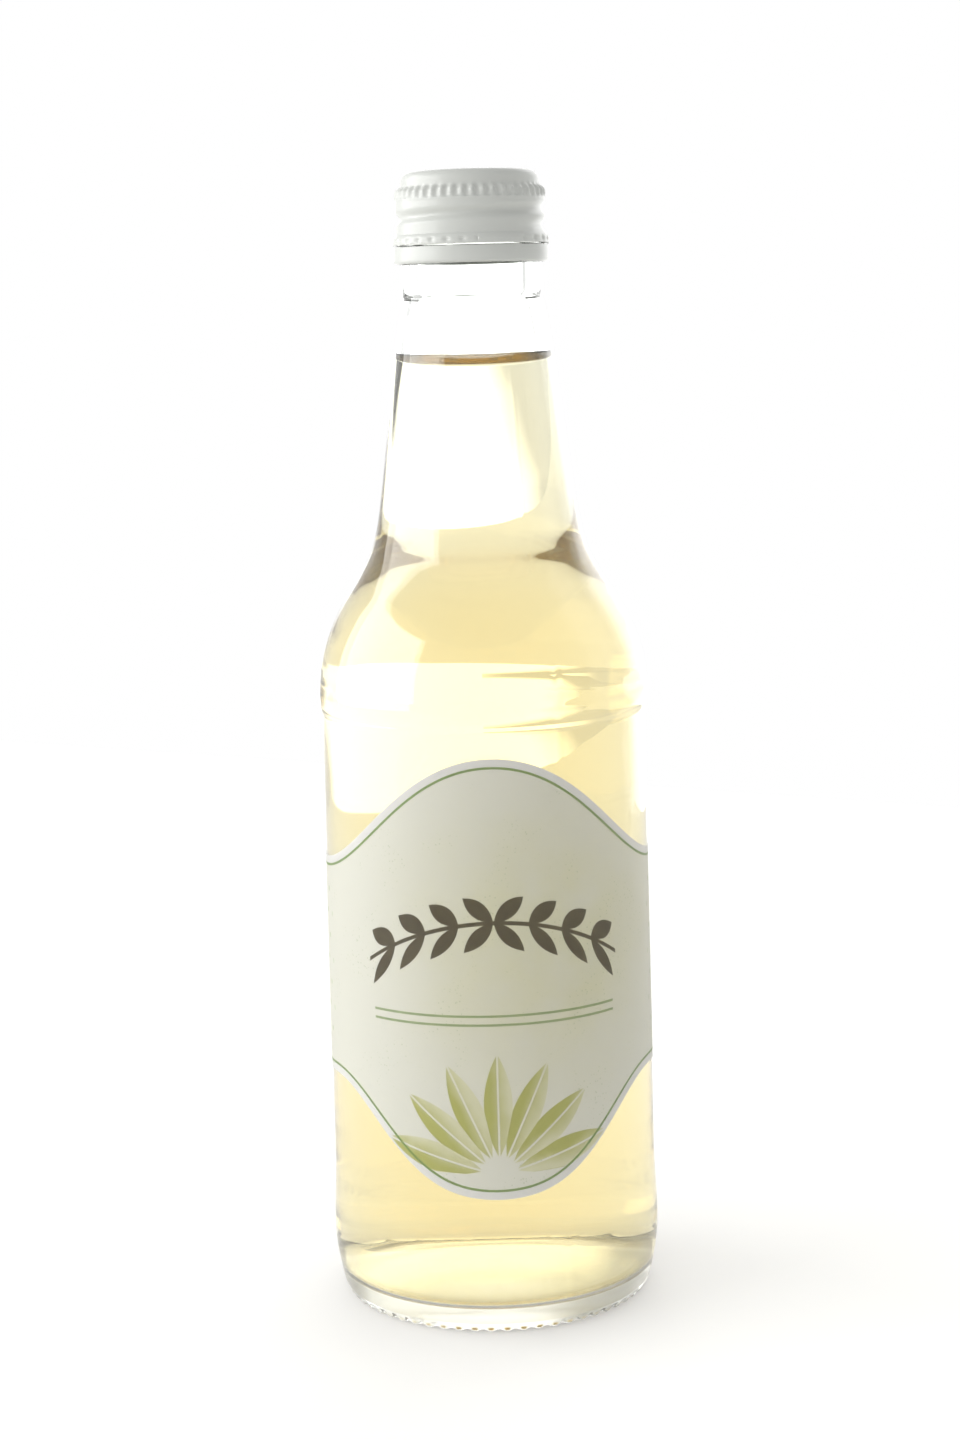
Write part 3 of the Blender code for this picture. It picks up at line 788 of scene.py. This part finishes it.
def capThreadRow(height, depth):
    def place(angle):
        share = threadShare(angle, height, thread["crestHeight"] + thread["pitch"] / 2, thread["grooveEnds"])
        return cap["crest"] - (cap["crest"] - cap["trough"]) * share ** 1.2 - depth, height
    return place


def ventRow(point, share):
    def place(angle):
        degrees = math.degrees(angle)
        paused = cap["ventPause"][0] < degrees < cap["ventPause"][1]
        wave30 = 0.5 + 0.5 * math.cos(cap["vents"] * angle)
        pressed = 0.0 if paused else cap["ventDepth"] * share * wave30 ** 3
        return point[0] - pressed, point[1]
    return place


def skirtEdge(radius, height, reach):
    def place(angle):
        return radius, height - reach * bridgeShare(angle)
    return place


def makeCapShell(lacquer):
    corner = cap["drumCorner"]
    centre = (cap["drumRadius"] - corner, cap["top"] - corner)
    dish = cap["top"] - cap["panelDepth"]
    top = [(0.0, dish), (5.0, dish), (cap["panelRadius"], dish)]
    top += [(cap["panelRadius"] + 0.3, dish + 0.1), (cap["panelRadius"] + 0.6, cap["top"])]
    drum = arc(centre, corner, 90, 0, 8) + [(cap["drumRadius"], cap["drumBottom"] + 0.8)]
    knurls = [knurlRow(k) for k in smoothThrough(cap["knurlKnots"], 3)]
    heights = between(cap["threadTop"], cap["threadBottom"], 34)
    threads = [capThreadRow(z, 0.0) for z in heights[:-1]]
    skirt = smoothThrough(cap["skirtKnots"], 3)
    skirtRows = [
        ventRow(p, math.exp(-((p[1] - 197.1) / 0.42) ** 2)) for p in skirt
    ]
    edge = [
        skirtEdge(14.6, cap["skirtBottom"] + 0.08, 0.0),
        skirtEdge(14.54, cap["skirtBottom"], cap["bridgeReach"]),
        skirtEdge(cap["skirtInside"] + 0.06, cap["skirtBottom"], cap["bridgeReach"]),
        (cap["skirtInside"], cap["skirtBottom"] + 0.08),
        (cap["skirtInside"], 197.5),
    ]
    inside = [capThreadRow(z, cap["wall"]) for z in heights[::-1]]
    inside += [(13.45, 205.0), (13.45, 206.0)]
    inside += [(cap["drumRadius"] - cap["wall"], cap["drumBottom"] - cap["wall"])]
    inside += arc(centre, corner - cap["wall"], 0, 90, 6) + [(0.0, cap["top"] - cap["wall"])]
    piece = turnPiece("capShell", top + drum + knurls + threads + skirtRows + edge + inside, cap["sides"])
    lowKnurl, highKnurl = cap["knurlKnots"][-1][1], cap["knurlKnots"][1][1]
    storeValues(piece, "rubbed", lambda place: (
        ease((math.hypot(place.x, place.y) - 13.7) / 0.4) * (lowKnurl < place.z < highKnurl)
    ))
    piece.data.materials.append(lacquer)
    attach(piece, "screw_cap")
    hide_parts("cap_shell")
    return piece


def makeBand(lacquer):
    inside = band["radius"] - cap["wall"]
    def topEdge(radius):
        def place(angle):
            return radius, band["top"] + cap["bridgeReach"] * bridgeShare(angle)
        return place
    rows = [topEdge(band["radius"] - 0.06), (band["radius"], band["top"] - 0.08)]
    rows += arc((band["radius"] - band["round"], band["bottom"] + band["round"]), band["round"], 0, -90, 6)
    rows += [(band["lip"], band["bottom"]), (band["lip"], band["bottom"] + cap["wall"])]
    rows += [(band["radius"] - band["round"], band["bottom"] + cap["wall"])]
    rows += [(inside, band["bottom"] + band["round"] + cap["wall"]), (inside, band["top"] - 0.08)]
    rows += [topEdge(inside + 0.06)]
    piece = turnPiece("tamperBand", rows, cap["sides"], closed=True)
    piece.data.materials.append(lacquer)
    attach(piece, "bottle")
    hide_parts("tamper_band")
    return piece


def makeLiner():
    top = cap["top"] - cap["wall"] - liner["gap"]
    bottom = top - liner["thickness"]
    rows = [(0.0, top), (liner["radius"] - liner["chamfer"], top)]
    rows += [(liner["radius"], top - liner["chamfer"]), (liner["radius"], bottom), (0.0, bottom)]
    piece = turnPiece("sealingDisc", rows, 120)
    piece.data.materials.append(makeLinerFoam())
    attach(piece, "sealing_disc")
    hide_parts("cap_liner")
    return piece


# Camera, floor and light

camera = {
    "lens": 67.35, "distance": 505.0, "height": 185.28, "aside": 0.74, "pitch": 2.8, "roll": -1.51,
    "shiftY": -0.198,      # the photograph is framed low on the lens's circle
}

floor = {
    "corners": ((-1100.0, -250.0), (390.0, -250.0), (390.0, 330.0), (-1100.0, 1150.0)),
    "colour": "#E0DFDB",    # it glows as well, as a lit white sweep does, so its own colour is darker
    "glow": 0.36,
}

studio = {
    "ring": (               # direction round the bottle, 0 at the camera and 180 behind, and its level
        (-180, 2.4), (-168, 2.4), (-158, 0.95), (-140, 0.9), (-134, 0.8), (-66, 0.9), (0, 0.74),
        (60, 0.66), (100, 0.7), (125, 0.75), (136, 2.4), (180, 2.4),
    ),
    "slant": 19.0,          # the bright part behind ends along a slant, from low to high by this much
    "slantFrom": -10.0,
    "slantTo": -3.0,
    "slantEnd": -1.5,
    "above": 0.6,
    "aboveFrom": 28,
    "aboveTo": 50,
    "leftBox": {"from": -124, "to": -52, "low": -6, "high": 36, "level": 4.0},
    "rightBox": {"from": 85, "to": 116, "low": -6, "high": 42, "level": 0.9},
    "edge": 1.0,
}


def makeCamera():
    data = bpy.data.cameras.new("camera")
    data.lens = camera["lens"]
    data.shift_y = camera["shiftY"]
    data.clip_start = 0.01
    ob = bpy.data.objects.new("camera", data)
    bpy.context.collection.objects.link(ob)
    tilt = Matrix.Rotation(math.radians(90 - camera["pitch"]), 4, "X")
    roll = Matrix.Rotation(math.radians(camera["roll"]), 4, "Z")
    place = Matrix.Translation(Vector((camera["aside"], -camera["distance"], camera["height"])) * mm)
    ob.matrix_world = place @ tilt @ roll
    bpy.context.scene.camera = ob


def makeFloor():
    data = bpy.data.meshes.new("floorSheet")
    data.from_pydata([(x * mm, y * mm, -0.02 * mm) for x, y in floor["corners"]], [], [(0, 1, 2, 3)])
    ob = bpy.data.objects.new("floorSheet", data)
    bpy.context.collection.objects.link(ob)
    material, tree, shader = startMaterial("whitePaperSweep", {
        "Base Color": linear(floor["colour"]),
        "Roughness": 0.9,
        "Emission Color": linear("#FFFFFF"),
        "Emission Strength": floor["glow"],
    })
    data.materials.append(material)


# A value that is 1 between two limits and 0 outside them, with a narrow soft edge.
def addWindow(tree, source, low, high):
    edge = studio["edge"]
    soft = {"interpolation_type": "SMOOTHSTEP"}
    over = addNode(tree, "ShaderNodeMapRange", {0: source, 1: low - edge, 2: low + edge}, **soft)
    under = addNode(tree, "ShaderNodeMapRange", {0: source, 1: high + edge, 2: high - edge}, **soft)
    return addNode(tree, "ShaderNodeMath", {0: over, 1: under}, operation="MULTIPLY")


def makeStudio():
    scene = bpy.context.scene
    scene.view_settings.view_transform = "Standard"
    scene.cycles.max_bounces = 24
    scene.cycles.transmission_bounces = 24
    scene.cycles.glossy_bounces = 16
    scene.cycles.diffuse_bounces = 6
    world = bpy.data.worlds.new("studio")
    scene.world = world
    world.use_nodes = True
    tree = world.node_tree
    tree.nodes.clear()
    toward = addNode(tree, "ShaderNodeTexCoord").outputs["Generated"]
    parts = addNode(tree, "ShaderNodeSeparateXYZ", {0: toward}).outputs
    front = addNode(tree, "ShaderNodeMath", {0: parts[1], 1: -1.0}, operation="MULTIPLY")
    turn = addNode(tree, "ShaderNodeMath", {0: parts[0], 1: front}, operation="ARCTAN2")
    degrees = addNode(tree, "ShaderNodeMath", {0: turn, 1: 180 / math.pi}, operation="MULTIPLY")
    rise = addNode(tree, "ShaderNodeMath", {0: parts[2]}, operation="ARCSINE")
    height = addNode(tree, "ShaderNodeMath", {0: rise, 1: 180 / math.pi}, operation="MULTIPLY")
    slant = addNode(tree, "ShaderNodeMapRange", {
        0: height, 1: studio["slantFrom"], 2: studio["slantTo"], 3: 0.0, 4: studio["slant"],
    })
    low = addNode(tree, "ShaderNodeMath", {0: height, 1: studio["slantEnd"]}, operation="LESS_THAN")
    slantLow = addNode(tree, "ShaderNodeMath", {0: slant, 1: low}, operation="MULTIPLY")
    slanted = addNode(tree, "ShaderNodeMath", {0: degrees, 1: slantLow}, operation="ADD")
    share = addNode(tree, "ShaderNodeMapRange", {0: slanted, 1: -180.0, 2: 180.0})
    brightest = max(level for _, level in studio["ring"])
    ramp = addNode(tree, "ShaderNodeValToRGB", {0: share})
    stops = ramp.color_ramp.elements
    for direction, _ in studio["ring"][1:-1]:
        stops.new(direction / 360 + 0.5)
    for stop, (_, level) in zip(stops, studio["ring"]):
        stop.color = (*[level / brightest] * 3, 1.0)
    ring = addNode(tree, "ShaderNodeMath", {0: ramp, 1: brightest}, operation="MULTIPLY")
    overhead = addNode(
        tree, "ShaderNodeMapRange", {0: height, 1: studio["aboveFrom"], 2: studio["aboveTo"]},
        interpolation_type="SMOOTHSTEP",
    )
    level = addNode(tree, "ShaderNodeMix", {0: overhead, 2: ring, 3: studio["above"]})
    for name in ("leftBox", "rightBox"):
        box = studio[name]
        wide = addWindow(tree, degrees, box["from"], box["to"])
        tall = addWindow(tree, height, box["low"], box["high"])
        lit = addNode(tree, "ShaderNodeMath", {0: wide, 1: tall}, operation="MULTIPLY")
        level = addNode(tree, "ShaderNodeMix", {0: lit, 2: level, 3: box["level"]})
    light = addNode(tree, "ShaderNodeBackground", {"Color": linear("#FFFFFF"), "Strength": level})
    plain = addNode(tree, "ShaderNodeBackground", {"Color": linear("#FFFFFF"), "Strength": 1.0})
    seen = addNode(tree, "ShaderNodeLightPath").outputs["Is Camera Ray"]
    mixed = addNode(tree, "ShaderNodeMixShader", {0: seen, 1: light, 2: plain})
    addNode(tree, "ShaderNodeOutputWorld", {"Surface": mixed})


makeGlass()
print("glass made")
makeJuice()
print("juice made")
makeLabel()
print("label made")
lacquer = makeCapLacquer()
makeCapShell(lacquer)
makeBand(lacquer)
makeLiner()
print("cap made")
makeCamera()
makeFloor()
makeStudio()
print("studio made")
